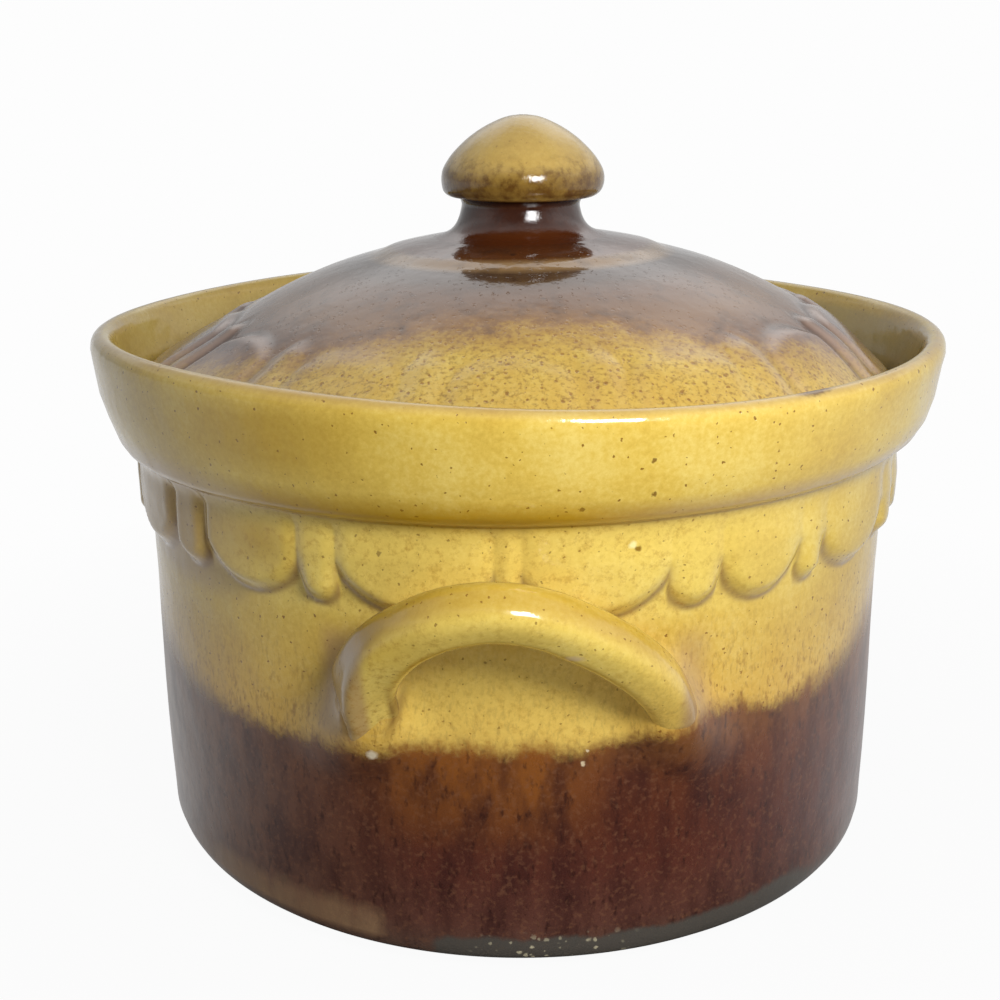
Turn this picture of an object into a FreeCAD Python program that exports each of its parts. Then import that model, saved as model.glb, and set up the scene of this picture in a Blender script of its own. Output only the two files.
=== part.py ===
# Lidded stoneware casserole pot with two arched side handles and a lift-off domed lid.
# Millimetres, +Z up, origin at the centre of the flat base, front handle towards -Y.
import FreeCAD, Part
import math
import os
import Sketcher
from FreeCAD import Placement, Rotation, Vector

DRIVING_SIZES = [
    ("rim_radius", 110.0, "outer radius of the lip, so 220 mm across"),
    ("rim_height", 136.0, "top of the rolled lip above the table"),
    ("lip_thickness", 5.7, "the lip is a half circle of this width"),
    ("wall_radius", 98.0, "outside of the straight wall"),
    ("wall_thickness", 7.0, "thickness of the straight wall"),
    ("floor_thickness", 8.0, "bottom of the pot"),
    ("corner_radius", 12.0, "rounding between the wall and the flat base"),
    ("cove_radius", 10.0, "rounding between the wall and the floor inside"),
    ("collar_radius", 101.0, "where the flaring collar starts"),
    ("collar_height", 107.3, "height where the collar starts"),
    ("collar_slope_height", 3.0, "height of the slope from the wall out to the collar"),
    ("collar_mid_radius", 107.7, "the outside of the collar passes through this radius"),
    ("collar_mid_height", 117.6, "and this height"),
    ("seat_radius", 99.0, "outer corner of the seat that carries the lid"),
    ("seat_height", 115.0, "height of the seat"),
    ("tongue_count", 15, "wide tongues round the pot, with as many narrow ones between"),
    ("tongue_face_radius", 100.9, "outer face of the tongues"),
    ("tongue_root_radius", 94.0, "depth in the wall where the tongues start"),
    ("tongue_bottom", 88.0, "lowest point of the tongues"),
    ("tongue_shoulder", 98.5, "height where the sides of a wide tongue start to round"),
    ("tongue_wide", 30.0, "width of a wide tongue"),
    ("tongue_narrow", 8.2, "width of a narrow tongue"),
    ("relief_overlap", 1.0, "how far the relief reaches into the clay under it"),
    ("lid_radius", 97.4, "edge of the lid"),
    ("lid_clearance", 0.25, "gap between the lid and its seat"),
    ("lid_thickness", 6.5, "shell of the lid"),
    ("lid_foot_width", 5.4, "flat ring under the lid's edge"),
    ("dome_radius", 148.5, "the dome is part of a ball of this radius"),
    ("dome_top", 158.5, "where the ball's top would be"),
    ("petal_count", 13, "wide petals round the lid, with as many narrow ones between"),
    ("petal_height", 1.4, "height of the petals above the dome"),
    ("petal_tip", 76.0, "distance of the petals' round ends from the axis"),
    ("petal_shoulder", 85.0, "distance where the sides of a petal start"),
    ("petal_wide", 26.0, "width of a wide petal at its shoulder"),
    ("petal_narrow", 8.5, "width of a narrow petal at its shoulder"),
    ("knob_foot_radius", 21.0, "foot of the knob on the dome"),
    ("knob_sweep_radius", 16.8, "the sweep into the waist passes through this radius"),
    ("knob_sweep_height", 159.3, "and this height"),
    ("knob_waist_radius", 15.45, "waist of the knob"),
    ("knob_waist_height", 162.5, "start of the waist"),
    ("knob_cap_height", 166.4, "end of the waist, under the cap"),
    ("knob_edge_radius", 18.7, "lower edge of the cap"),
    ("knob_edge_height", 167.4, "height of that edge"),
    ("knob_cap_radius", 20.95, "widest part of the cap"),
    ("knob_widest_height", 171.6, "height of the widest part"),
    ("knob_shoulder_radius", 19.4, "shoulder of the cap"),
    ("knob_shoulder_height", 175.6, "height of the shoulder"),
    ("knob_crown_radius", 13.9, "the crown passes through this radius"),
    ("knob_crown_height", 181.3, "and this height"),
    ("knob_tip_radius", 2.4, "small flat on top of the knob"),
    ("knob_top", 187.5, "top of the closed pot"),
    ("strap_radius", 6.2, "half the thickness of a handle"),
    ("arch_radius", 32.0, "centreline of the arch, and half the spread of the legs"),
    ("leg_length", 4.6, "straight length of a leg between the wall and the arch"),
    ("root_length", 14.0, "straight length of a leg that starts inside the wall"),
    ("handle_depth", 92.5, "distance of the feet from the axis"),
    ("foot_height", 65.0, "height of the feet"),
    ("lean", 35.0, "degrees by which the arch leans out from the wall"),
]


class Size:
    """A length with its value and the sheet expression that gives it."""

    def __init__(self, value, text):
        self.value = value
        self.text = text

    def join(self, other, sign, value):
        text = other.text if isinstance(other, Size) else repr(float(other))
        return Size(value, f"({self.text} {sign} {text})")

    def __add__(self, other):
        return self.join(other, "+", self.value + number(other))

    def __sub__(self, other):
        return self.join(other, "-", self.value - number(other))

    def __mul__(self, other):
        return self.join(other, "*", self.value * number(other))

    def __truediv__(self, other):
        return self.join(other, "/", self.value / number(other))

    def __neg__(self):
        return Size(-self.value, f"(0 - {self.text})")


def number(item):
    return item.value if isinstance(item, Size) else float(item)


def root(square):
    return Size(math.sqrt(square.value), f"sqrt({square.text})")


def sine(angle):
    return Size(math.sin(math.radians(angle.value)), f"sin({angle.text})")


def cosine(angle):
    return Size(math.cos(math.radians(angle.value)), f"cos({angle.text})")


doc = FreeCAD.newDocument("casserole")
sheet = doc.addObject("Spreadsheet::Sheet", "Sizes")
size = {}
for row, (alias, value, note) in enumerate(DRIVING_SIZES, start=1):
    sheet.set(f"A{row}", alias)
    sheet.set(f"B{row}", str(value))
    sheet.setAlias(f"B{row}", alias)
    sheet.set(f"C{row}", note)
    size[alias] = Size(float(value), f"Sizes.{alias}")
doc.recompute()
zero = Size(0.0, "0")


# Sketches and features
def origin_feature(body, role):
    return [item for item in body.Origin.OriginFeatures if item.Role == role][0]


def new_body(name):
    body = doc.addObject("PartDesign::Body", name)
    body.AllowCompound = True
    return body


def new_sketch(body, name, plane):
    sketch = body.newObject("Sketcher::SketchObject", name)
    sketch.AttachmentSupport = [(origin_feature(body, plane), "")]
    sketch.MapMode = "FlatFace"
    return sketch


def pin_coordinate(sketch, kind, geometry, vertex, length, label):
    """Hold one coordinate of a vertex: on the axis when it is zero, else at a named distance."""
    if number(length) == 0:
        axis = -2 if kind == "DistanceX" else -1
        sketch.addConstraint(Sketcher.Constraint("PointOnObject", geometry, vertex, axis))
        return
    ends = (-1, 1, geometry, vertex) if length.value > 0 else (geometry, vertex, -1, 1)
    distance = length if length.value > 0 else -length
    index = sketch.addConstraint(Sketcher.Constraint(kind, *ends, distance.value))
    sketch.renameConstraint(index, label)
    sketch.setExpression(f"Constraints.{label}", distance.text)


def pin_vertex(sketch, geometry, vertex, point, label):
    pin_coordinate(sketch, "DistanceX", geometry, vertex, point[0], f"{label}_across")
    pin_coordinate(sketch, "DistanceY", geometry, vertex, point[1], f"{label}_up")


def flat(point):
    return Vector(number(point[0]), number(point[1]), 0)


def draw_arc(sketch, start, middle, end, label):
    """Arc through three points; its middle is held by a construction point that lies on it."""
    curve = Part.Arc(flat(start), flat(middle), flat(end))
    arc = sketch.addGeometry(curve)
    mark = sketch.addGeometry(Part.Point(flat(middle)), True)
    pin_vertex(sketch, mark, 1, middle, label)
    sketch.addConstraint(Sketcher.Constraint("PointOnObject", mark, 1, arc))
    backwards = sketch.getPoint(arc, 1).distanceToPoint(flat(start)) > 1e-6
    return (arc, 2, 1) if backwards else (arc, 1, 2)


def draw(sketch, steps, closed=True):
    """Outline whose steps are (point,) or (point, middle of the arc that leads to it)."""
    first = 0 if closed else 1
    edges = []
    for index in range(first, len(steps)):
        start = steps[index - 1][0]
        end = steps[index][0]
        if len(steps[index]) == 1:
            line = sketch.addGeometry(Part.LineSegment(flat(start), flat(end)))
            edges.append((line, 1, 2))
        else:
            edges.append(draw_arc(sketch, start, steps[index][1], end, f"middle{index}"))
    for place, (edge, begin, finish) in enumerate(edges):
        pin_vertex(sketch, edge, begin, steps[place + first - 1][0], f"corner{place}")
        if closed or place + 1 < len(edges):
            next_edge, next_begin, _ = edges[(place + 1) % len(edges)]
            sketch.addConstraint(
                Sketcher.Constraint("Coincident", edge, finish, next_edge, next_begin))
        else:
            pin_vertex(sketch, edge, finish, steps[-1][0], "last_corner")


def turned(body, name, steps):
    """Full turn of an outline in the XZ plane about the Z axis."""
    sketch = new_sketch(body, f"{name}_outline", "XZ_Plane")
    draw(sketch, steps)
    turn = body.newObject("PartDesign::Revolution", name)
    turn.Profile = sketch
    turn.ReferenceAxis = (sketch, ["V_Axis"])
    turn.Angle = 360


def prisms_round(name, plane, offset, steps, length, count, half_step):
    """Prisms of one outline, evenly round the Z axis, turned by half a step if asked."""
    body = new_body(name)
    sketch = new_sketch(body, f"{name}_outline", plane)
    sketch.setExpression("AttachmentOffset.Base.z", offset.text)
    draw(sketch, steps)
    pad = body.newObject("PartDesign::Pad", f"{name}_first")
    pad.Profile = sketch
    pad.setExpression("Length", length.text)
    doc.recompute()
    pattern = body.newObject("PartDesign::PolarPattern", f"{name}_ring")
    pattern.Originals = [pad]
    pattern.Axis = (origin_feature(body, "Z_Axis"), [""])
    pattern.Angle = 360
    pattern.setExpression("Occurrences", count.text)
    body.Tip = pattern
    if half_step:
        body.Placement = Placement(Vector(0, 0, 0), Rotation(Vector(0, 0, 1), 1))
        body.setExpression("Placement.Rotation.Angle", f"180 / {count.text}")
    return body


def combine(kind, name, base, tool):
    result = doc.addObject(kind, name)
    result.Base = base
    result.Tool = tool
    return result


# Pot wall
# A straight wall on a flat base with a rounded corner, a collar that flares out from it to a
# rolled lip, and inside the collar the flat seat for the lid.
quarter_share = 1 - math.sqrt(0.5)  # middle of a quarter circle, from its corner
pot_inner = size["wall_radius"] - size["wall_thickness"]
lip_inner = size["rim_radius"] - size["lip_thickness"]
lip_middle = size["rim_radius"] - size["lip_thickness"] / 2
lip_start = size["rim_height"] - size["lip_thickness"] / 2
corner = size["corner_radius"]
cove = size["cove_radius"]
pot_wall = new_body("pot_wall")
turned(pot_wall, "pot_turned", [
    ((zero, zero),),
    ((size["wall_radius"] - corner, zero),),
    ((size["wall_radius"], corner),
     (size["wall_radius"] - corner * quarter_share, corner * quarter_share)),
    ((size["wall_radius"], size["collar_height"] - size["collar_slope_height"]),),
    ((size["collar_radius"], size["collar_height"]),),
    ((size["rim_radius"], lip_start), (size["collar_mid_radius"], size["collar_mid_height"])),
    ((lip_inner, lip_start), (lip_middle, size["rim_height"])),
    ((size["seat_radius"], size["seat_height"]),),
    ((pot_inner, size["seat_height"]),),
    ((pot_inner, size["floor_thickness"] + cove),),
    ((pot_inner - cove, size["floor_thickness"]),
     (pot_inner - cove * quarter_share, size["floor_thickness"] + cove * quarter_share)),
    ((zero, size["floor_thickness"]),),
])


# Relief of the pot
# Wide and narrow tongues hang in turn from the collar, a narrow one over each handle's middle at
# the front. Their prisms are trimmed to a band that follows the wall.
def tongue(width, shoulder):
    """Straight sides from the collar down to the shoulder, then a round end."""
    half = width / 2
    top = size["collar_height"]
    return [
        ((-half, top),),
        ((-half, shoulder),),
        ((half, shoulder), (zero, size["tongue_bottom"])),
        ((half, top),),
    ]


tongue_length = size["rim_radius"] - size["tongue_root_radius"]
narrow_shoulder = size["tongue_bottom"] + size["tongue_narrow"] / 2
narrow_tongues = prisms_round(
    "narrow_tongues", "XZ_Plane", size["tongue_root_radius"],
    tongue(size["tongue_narrow"], narrow_shoulder), tongue_length, size["tongue_count"], False)
wide_tongues = prisms_round(
    "wide_tongues", "XZ_Plane", size["tongue_root_radius"],
    tongue(size["tongue_wide"], size["tongue_shoulder"]), tongue_length, size["tongue_count"], True)
tongue_band = new_body("tongue_band")
band_inner = size["wall_radius"] - size["wall_thickness"] / 2
overlap = size["relief_overlap"]
turned(tongue_band, "tongue_band_turned", [
    ((band_inner, size["tongue_bottom"] - overlap),),
    ((size["tongue_face_radius"], size["tongue_bottom"] - overlap),),
    ((size["tongue_face_radius"], size["collar_height"]),),
    ((band_inner, size["collar_height"]),),
])
tongues = combine("Part::Fuse", "tongues", narrow_tongues, wide_tongues)
pot_relief = combine("Part::Common", "pot_relief", tongues, tongue_band)
pot_body = combine("Part::Fuse", "pot_body", pot_wall, pot_relief)


# Lid shell
# A thin dome, part of a ball, with an upright edge and a flat ring under it that sits loose on
# the pot's seat.
def dome_point(radius, offset):
    """Point at a distance from the axis on the dome, or on the ball that lies outside it."""
    ball = size["dome_radius"] + offset
    centre = size["dome_top"] - size["dome_radius"]
    return (radius, centre + root(ball * ball - radius * radius))


lid_bottom = size["seat_height"] + size["lid_clearance"]
lid_foot_inner = size["lid_radius"] - size["lid_foot_width"]
hollow = -size["lid_thickness"]
halfway = 0.6  # share of the radius where an arc of the dome has its middle point
lid_dome = new_body("lid_dome")
turned(lid_dome, "lid_turned", [
    ((zero, size["dome_top"]), dome_point(size["lid_radius"] * halfway, zero)),
    ((zero, size["dome_top"] + hollow),),
    (dome_point(lid_foot_inner, hollow), dome_point(lid_foot_inner * halfway, hollow)),
    ((lid_foot_inner, lid_bottom),),
    ((size["lid_radius"], lid_bottom),),
    (dome_point(size["lid_radius"], zero),),
])


# Relief of the lid
# Wide and narrow petals run in turn from the edge of the lid up the dome to their round ends.
# Their upright prisms are trimmed to a thin skin on the dome.
def petal(width):
    """Sides that spread towards the lid's edge and a round end towards the knob."""
    half = width / 2
    outer = size["lid_radius"] + overlap * 2
    outer_half = half * (outer / size["petal_shoulder"])
    shoulder = -size["petal_shoulder"]
    return [
        ((-outer_half, -outer),),
        ((outer_half, -outer),),
        ((half, shoulder),),
        ((-half, shoulder), (zero, -size["petal_tip"])),
    ]


petal_length = size["dome_top"] - size["seat_height"]
petal_start = size["seat_height"] + overlap
wide_petals = prisms_round(
    "wide_petals", "XY_Plane", petal_start, petal(size["petal_wide"]),
    petal_length, size["petal_count"], False)
narrow_petals = prisms_round(
    "narrow_petals", "XY_Plane", petal_start, petal(size["petal_narrow"]),
    petal_length, size["petal_count"], True)
skin_inner = size["petal_tip"] - overlap * 2
skin_middle = (skin_inner + size["lid_radius"]) / 2
sunk = zero - overlap
petal_skin = new_body("petal_skin")
turned(petal_skin, "petal_skin_turned", [
    (dome_point(skin_inner, sunk),),
    (dome_point(size["lid_radius"], sunk), dome_point(skin_middle, sunk)),
    (dome_point(size["lid_radius"], size["petal_height"]),),
    (dome_point(skin_inner, size["petal_height"]), dome_point(skin_middle, size["petal_height"])),
])
petals = combine("Part::Fuse", "petals", wide_petals, narrow_petals)
lid_relief = combine("Part::Common", "lid_relief", petals, petal_skin)
lid_shell = combine("Part::Fuse", "lid_shell", lid_dome, lid_relief)


# Lid knob
# A mushroom knob: a foot that sweeps into a narrow waist, and a cap with a blunt cone on top. Its
# underside is the dome that it stands on.
knob_turned = new_body("knob_solid")
turned(knob_turned, "knob_turned", [
    ((zero, size["dome_top"] + hollow / 2),),
    ((size["knob_foot_radius"], size["dome_top"] + hollow / 2),),
    (dome_point(size["knob_foot_radius"], zero),),
    ((size["knob_waist_radius"], size["knob_waist_height"]),
     (size["knob_sweep_radius"], size["knob_sweep_height"])),
    ((size["knob_waist_radius"], size["knob_cap_height"]),),
    ((size["knob_edge_radius"], size["knob_edge_height"]),),
    ((size["knob_shoulder_radius"], size["knob_shoulder_height"]),
     (size["knob_cap_radius"], size["knob_widest_height"])),
    ((size["knob_tip_radius"], size["knob_top"]),
     (size["knob_crown_radius"], size["knob_crown_height"])),
    ((zero, size["knob_top"]),),
])
lid_knob = combine("Part::Cut", "lid_knob", knob_turned, lid_shell)


# Handles
# A round strap bent into an arch: two legs leave the wall, lean outwards and meet in a half
# circle. The straight start of each leg sinks into the wall, which trims it off.
def tilted_sketch(body, name, angle, base):
    """Sketch plane parallel to the X axis, turned up from the front by an angle in degrees."""
    sketch = new_sketch(body, name, "XZ_Plane")
    sketch.AttachmentOffset = Placement(Vector(0, 0, 0), Rotation(Vector(1, 0, 0), 1))
    sketch.setExpression("AttachmentOffset.Rotation.Angle", angle.text)
    for axis, length in zip("xyz", base):
        sketch.setExpression(f"AttachmentOffset.Base.{axis}", length.text)
    return sketch


wall_envelope = doc.addObject("Part::Cylinder", "wall_envelope")
wall_envelope.setExpression("Radius", size["wall_radius"].text)
wall_envelope.setExpression("Height", size["collar_height"].text)


def handle(name, turn):
    strap = new_body(f"{name}_strap")
    leg = size["leg_length"]
    spread = size["arch_radius"]
    feet = (zero, size["foot_height"], size["handle_depth"])
    path = tilted_sketch(strap, f"{name}_path", size["lean"], feet)
    draw(path, [
        ((spread, -size["root_length"]),),
        ((spread, leg),),
        ((-spread, leg), (zero, leg + spread)),
        ((-spread, -size["root_length"]),),
    ], closed=False)
    start = (spread,
             size["foot_height"] - size["root_length"] * cosine(size["lean"]),
             size["handle_depth"] - size["root_length"] * sine(size["lean"]))
    section = tilted_sketch(strap, f"{name}_section", size["lean"] - 90, start)
    circle = Part.Circle(Vector(0, 0, 0), Vector(0, 0, 1), size["strap_radius"].value)
    ring = section.addGeometry(circle)
    section.addConstraint(Sketcher.Constraint("Coincident", ring, 3, -1, 1))
    radius = section.addConstraint(
        Sketcher.Constraint("Radius", ring, size["strap_radius"].value))
    section.renameConstraint(radius, "strap")
    section.setExpression("Constraints.strap", size["strap_radius"].text)
    doc.recompute()
    pipe = strap.newObject("PartDesign::AdditivePipe", f"{name}_pipe")
    pipe.Profile = section
    pipe.Spine = (path, ["Edge1", "Edge2", "Edge3"])
    strap.Placement = Placement(Vector(0, 0, 0), Rotation(Vector(0, 0, 1), turn))
    return combine("Part::Cut", name, strap, wall_envelope)


handle_front = handle("handle_front", 0)
handle_back = handle("handle_back", 180)


# Checks and export
nodes = [pot_body, handle_front, handle_back, lid_shell, lid_knob]
doc.recompute()
for item in doc.Objects:
    if "Invalid" in item.State or "Error" in item.State:
        raise RuntimeError(f"{item.Name} failed: {item.State}")
for node in nodes:
    if node.Shape.isNull() or not node.Shape.isValid() or len(node.Shape.Solids) != 1:
        raise RuntimeError(f"{node.Name} has no valid single solid")
os.makedirs("parts", exist_ok=True)
for node in nodes:
    node.Label = node.Name
    node.Shape.exportStep(f"parts/{node.Name}.step")
    box = node.Shape.optimalBoundingBox()
    print(f"{node.Name}: {node.Shape.Volume / 1000:.1f} cm3, x {box.XMin:.1f} to {box.XMax:.1f}, "
          f"y {box.YMin:.1f} to {box.YMax:.1f}, z {box.ZMin:.1f} to {box.ZMax:.1f}")
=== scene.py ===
# Looks of a lidded stoneware casserole pot: honey-yellow glaze over a dark red-brown lower wall.
import math

import bpy
import numpy as np
from mathutils import Matrix, Vector


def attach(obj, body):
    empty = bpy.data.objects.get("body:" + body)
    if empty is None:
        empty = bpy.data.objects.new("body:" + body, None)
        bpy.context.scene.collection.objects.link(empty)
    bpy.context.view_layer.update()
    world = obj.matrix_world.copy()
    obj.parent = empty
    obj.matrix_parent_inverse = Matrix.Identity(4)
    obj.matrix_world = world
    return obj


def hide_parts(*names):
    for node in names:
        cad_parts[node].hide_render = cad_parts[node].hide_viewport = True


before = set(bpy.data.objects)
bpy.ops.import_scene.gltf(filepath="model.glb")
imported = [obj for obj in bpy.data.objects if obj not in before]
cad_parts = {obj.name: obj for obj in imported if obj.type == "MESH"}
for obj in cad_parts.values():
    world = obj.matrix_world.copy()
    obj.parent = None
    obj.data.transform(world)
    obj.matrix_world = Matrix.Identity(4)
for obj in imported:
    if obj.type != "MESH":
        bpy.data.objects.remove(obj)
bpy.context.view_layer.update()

# Camera
# The photograph looks down on the pot by about 17 degrees from 0.37 m in front of its axis, with
# the axis a little to the right of the middle.
MM = 0.001
camera_distance = 369.8 * MM
camera_height = 199.1 * MM
camera_pitch = math.radians(17.28)
camera_yaw = math.radians(0.70)
camera_data = bpy.data.cameras.new("camera")
camera_data.sensor_width = 36
camera_data.lens = 50.13
camera = bpy.data.objects.new("camera", camera_data)
camera.matrix_world = (
    Matrix.Translation((0, -camera_distance, camera_height))
    @ Matrix.Rotation(camera_yaw, 4, "Z")
    @ Matrix.Rotation(math.radians(90) - camera_pitch, 4, "X"))
bpy.context.scene.collection.objects.link(camera)
bpy.context.scene.camera = camera


# Studio
# A white sheet of paper in a room with one near lamp to the right of the camera. The pale walls
# beside and behind the pot give the sheen on its flanks, the side behind the camera is unlit, and
# a brighter zone half way up gives the haze on the top of the lid.
def linear(hex_colour):
    """sRGB hex to linear: the low end divided by 12.92, the rest raised to the power 2.4."""
    parts = [int(hex_colour[i:i + 2], 16) / 255 for i in (1, 3, 5)]
    curve = [c / 12.92 if c <= 0.04045 else ((c + 0.055) / 1.055) ** 2.4 for c in parts]
    return (*curve, 1.0)


def add(tree, kind, inputs=None, stops=None, **settings):
    """A node with its settings; each input is a value or the output socket that feeds it, and
    the stops of a ramp are its positions with their hex colours."""
    made = tree.nodes.new(kind)
    for name, value in settings.items():
        setattr(made, name, value)
    for name, value in (inputs or {}).items():
        if isinstance(value, bpy.types.NodeSocket):
            tree.links.new(value, made.inputs[name])
        else:
            made.inputs[name].default_value = value
    if stops:
        points = made.color_ramp.elements
        while len(points) < len(stops):
            points.new(0.5)
        for point, (position, colour) in zip(points, stops):
            point.position = position
            point.color = linear(colour)
    return made


background = linear("#FDFDFD")
ambient = 0.18  # how strongly the walls light the pot, beside the lamp


def room(tree, towards):
    """How bright the room is in a direction of the level plane, as a ramp over the direction's
    -Y part: dark behind the camera, which is along -Y, and pale from the sides on."""
    parts = add(tree, "ShaderNodeSeparateXYZ", {"Vector": towards})
    facing = add(tree, "ShaderNodeMath", {0: parts.outputs["Y"], 1: -1.0}, operation="MULTIPLY")
    return add(tree, "ShaderNodeValToRGB", {"Fac": facing.outputs[0]}, stops=[
        (0.0, "#E7E7E7"), (0.30, "#DEDEDE"), (0.52, "#B4B4B4"), (0.72, "#777777"),
        (0.86, "#383838")]).outputs["Color"]


def looked_at(tree):
    """Two masks by what looks: 1 in a mirror image, and 1 for the eye, bare or through glass."""
    rays = add(tree, "ShaderNodeLightPath")
    seen = add(tree, "ShaderNodeMath", {
        0: rays.outputs["Is Camera Ray"], 1: rays.outputs["Is Transmission Ray"]},
        operation="MAXIMUM")
    return rays.outputs["Is Glossy Ray"], seen.outputs[0]


world = bpy.data.worlds.new("room")
world.use_nodes = True
bpy.context.scene.world = world
tree = world.node_tree
tree.nodes.clear()
in_mirror, seen = looked_at(tree)
towards = add(tree, "ShaderNodeTexCoord").outputs["Generated"]
soft = add(tree, "ShaderNodeMix", {
    0: in_mirror, 6: (ambient, ambient, ambient, 1), 7: room(tree, towards)}, data_type="RGBA")
plain = add(tree, "ShaderNodeMix", {0: seen, 6: soft.outputs[2], 7: background},
            data_type="RGBA")
# The brighter zone is about twice as bright as the walls and a little brighter on the right. Its
# upper part is dimmed to a half far out on both sides, where the flanks of the lid mirror it.
parts = add(tree, "ShaderNodeSeparateXYZ", {"Vector": towards})
zone = add(tree, "ShaderNodeValToRGB", {"Fac": parts.outputs["Z"]}, stops=[
    (0.28, "#B2B2B2"), (0.46, "#FFFFFF"), (0.78, "#FFFFFF"), (0.90, "#A0A0A0")])
doubled = add(tree, "ShaderNodeMath", {0: parts.outputs["X"], 1: 0.38, 2: 1.95},
              operation="MULTIPLY_ADD")
brighter = add(tree, "ShaderNodeMath", {0: zone.outputs[0], 1: doubled.outputs[0]},
               operation="MULTIPLY")
aside = add(tree, "ShaderNodeMath", {0: parts.outputs["X"]}, operation="ABSOLUTE")
beyond = add(tree, "ShaderNodeMapRange", {"Value": aside.outputs[0], "From Min": 0.36,
                                          "From Max": 0.52})
upwards = add(tree, "ShaderNodeMapRange", {"Value": parts.outputs["Z"], "From Min": 0.36,
                                           "From Max": 0.48, "To Max": -0.5})
dimmed = add(tree, "ShaderNodeMath", {0: beyond.outputs[0], 1: upwards.outputs[0], 2: 1.0},
             operation="MULTIPLY_ADD")
haze = add(tree, "ShaderNodeMath", {0: brighter.outputs[0], 1: dimmed.outputs[0]},
           operation="MULTIPLY")
strength = add(tree, "ShaderNodeMix", {0: in_mirror, 2: 1.0, 3: haze.outputs[0]})
sky = add(tree, "ShaderNodeBackground", {"Color": plain.outputs[2],
                                         "Strength": strength.outputs[0]})
add(tree, "ShaderNodeOutputWorld", {"Surface": sky.outputs[0]})

paper_reach = 6.0
paper_gap = 0.3 * MM
floor_mesh = bpy.data.meshes.new("floor")
floor_mesh.from_pydata([(x * paper_reach, y * paper_reach, 0) for x, y in (
    (-1, -1), (1, -1), (1, 1), (-1, 1))], [], [(0, 1, 2, 3)])
floor = bpy.data.objects.new("floor", floor_mesh)
floor.location = (0, 0, -paper_gap)
bpy.context.scene.collection.objects.link(floor)
# White paper is plain white to the eye, with the pot's soft shadow on its matt face close by, and
# in a mirror image it is as bright as the room behind it.
paper = bpy.data.materials.new("white_paper")
paper.use_nodes = True
tree = paper.node_tree
tree.nodes.clear()
in_mirror, seen = looked_at(tree)
place = add(tree, "ShaderNodeTexCoord").outputs["Object"]
distance = add(tree, "ShaderNodeVectorMath", {0: place}, operation="LENGTH")
fade = add(tree, "ShaderNodeMapRange", {"Value": distance.outputs["Value"], "From Min": 0.11,
                                        "From Max": 0.30, "To Min": 0.97})
shown = add(tree, "ShaderNodeMath", {0: fade.outputs[0], 1: seen}, operation="MULTIPLY")
mirrored = add(tree, "ShaderNodeMath", {0: shown.outputs[0], 1: in_mirror},
               operation="MAXIMUM")
from_middle = add(tree, "ShaderNodeVectorMath", {0: place}, operation="NORMALIZE")
glow_colour = add(tree, "ShaderNodeMix", {
    0: in_mirror, 6: background, 7: room(tree, from_middle.outputs[0])}, data_type="RGBA")
matt = add(tree, "ShaderNodeBsdfDiffuse", {"Color": linear("#DEDEDE")})
glow = add(tree, "ShaderNodeEmission", {"Color": glow_colour.outputs[2]})
mixed = add(tree, "ShaderNodeMixShader", {0: mirrored.outputs[0], 1: matt.outputs[0],
                                          2: glow.outputs[0]})
add(tree, "ShaderNodeOutputMaterial", {"Surface": mixed.outputs[0]})
floor_mesh.materials.append(paper)


def lamp(name, azimuth, elevation, distance, size, power):
    """Square lamp that looks at a point 100 mm up the pot's axis, from a distance in metres;
    azimuth 0 is the camera's side."""
    data = bpy.data.lights.new(name, "AREA")
    data.shape = "SQUARE"
    data.size = size
    data.energy = power
    lit = bpy.data.objects.new(name, data)
    turn, rise = math.radians(azimuth), math.radians(elevation)
    back = Vector((math.sin(turn) * math.cos(rise), -math.cos(turn) * math.cos(rise),
                   math.sin(rise)))
    lit.location = Vector((0, 0, 100 * MM)) + back * distance
    lit.rotation_mode = "QUATERNION"
    lit.rotation_quaternion = back.to_track_quat("Z", "Y")
    bpy.context.scene.collection.objects.link(lit)


lamp("near_lamp", azimuth=21, elevation=28, distance=0.40, size=0.10, power=1.10)
bpy.context.scene.view_settings.view_transform = "Standard"


# Pot
# Thrown stoneware, fired with a honey glaze above and an iron-brown one below. The collar flares
# out to a rolled lip; under it hang the moulded tongues, wide and narrow in turn. No two are alike.
def smooth(value, low, high):
    """Cubic step from 0 at low to 1 at high: 3 times the share's square less twice its cube."""
    share = np.clip((value - low) / (high - low), 0, 1)
    return share * share * (3 - 2 * share)


def hill(value, middle, width):
    """Bell curve: e to the power of minus the square of the way from its middle, in widths."""
    return np.exp(-((value - middle) / width) ** 2)


def from_table(value, *rows):
    """Straight lines between the rows of a table, each a value and its result."""
    return np.interp(value, *np.transpose(rows))


def through(points, step):
    """Line through points: between each two a cubic, whose slope at a point is the mean of the
    slopes beside it, weighted by their lengths; sampled evenly, both ends included."""
    corner = np.array(points, float)
    reach = np.concatenate([[0], np.cumsum(np.linalg.norm(np.diff(corner, axis=0), axis=1))])
    slope = np.gradient(corner, reach, axis=0)
    along = np.linspace(0, reach[-1], int(reach[-1] / step) + 1)
    before = np.clip(np.searchsorted(reach, along, side="right") - 1, 0, len(corner) - 2)
    width = (reach[before + 1] - reach[before])[:, None]
    share = (along - reach[before])[:, None] / width
    return ((1 + 2 * share) * (1 - share) ** 2 * corner[before]
            + share * (1 - share) ** 2 * width * slope[before]
            + share ** 2 * (3 - 2 * share) * corner[before + 1]
            + share ** 2 * (share - 1) * width * slope[before + 1])


def spread(values, weight, count):
    """Count of the values, closer together where the weight is large: the running sum of the
    weight is cut into equal parts."""
    total = np.cumsum(weight)
    picked = np.interp(np.linspace(total[0], total[-1], count), total, np.arange(len(values)))
    low = np.clip(picked.astype(int), 0, len(values) - 2)
    share = picked - low
    if values.ndim > 1:
        share = share[:, None]
    return values[low] * (1 - share) + values[low + 1] * share


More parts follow.
